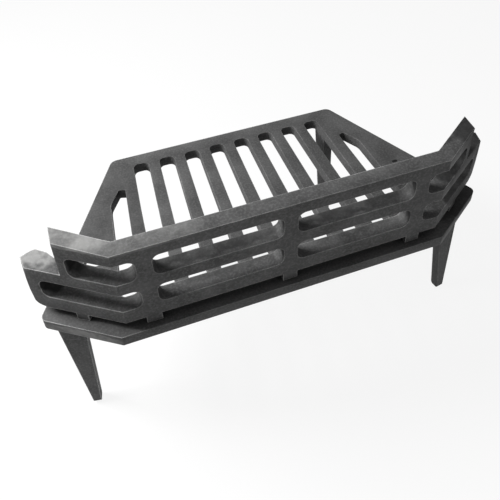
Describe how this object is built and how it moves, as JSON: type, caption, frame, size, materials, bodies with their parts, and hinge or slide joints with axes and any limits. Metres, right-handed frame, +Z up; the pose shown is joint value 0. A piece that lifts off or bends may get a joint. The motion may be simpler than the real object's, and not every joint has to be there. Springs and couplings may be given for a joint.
{
  "type": "log grate",
  "caption": "Cast iron fireplace log grate: slotted bottom plate on tapered legs, with a barred front that has stepped angled wings and lifts off.",
  "frame": {"origin": "on the floor that the four feet stand on, midway across the grate's width and depth", "axes": "+X to the right along the front, +Y to the back, +Z up"},
  "size_m": [0.4002, 0.1938, 0.226],
  "materials": {
    "plate_iron": "as cast, matt dark grey",
    "fret_iron": "as cast, matt dark grey, worn lighter along the edges",
    "leg_iron": "as cast, matt dark grey",
    "fixing_steel": "dull zinc-plated steel"
  },
  "bodies": {
    "grate": {"bottom_grate": "plate_iron", "front_left_leg": "leg_iron", "front_right_leg": "leg_iron", "rear_left_leg": "leg_iron", "rear_right_leg": "leg_iron", "leg_screws": "fixing_steel", "leg_washers": "fixing_steel"},
    "fret": {"front_fret": "fret_iron"}
  },
  "joints": [
    {"name": "fret_lift", "type": "slide", "parent": "grate", "child": "fret", "axis": [0, 0, 1], "range_m": [0, 0.1]}
  ]
}
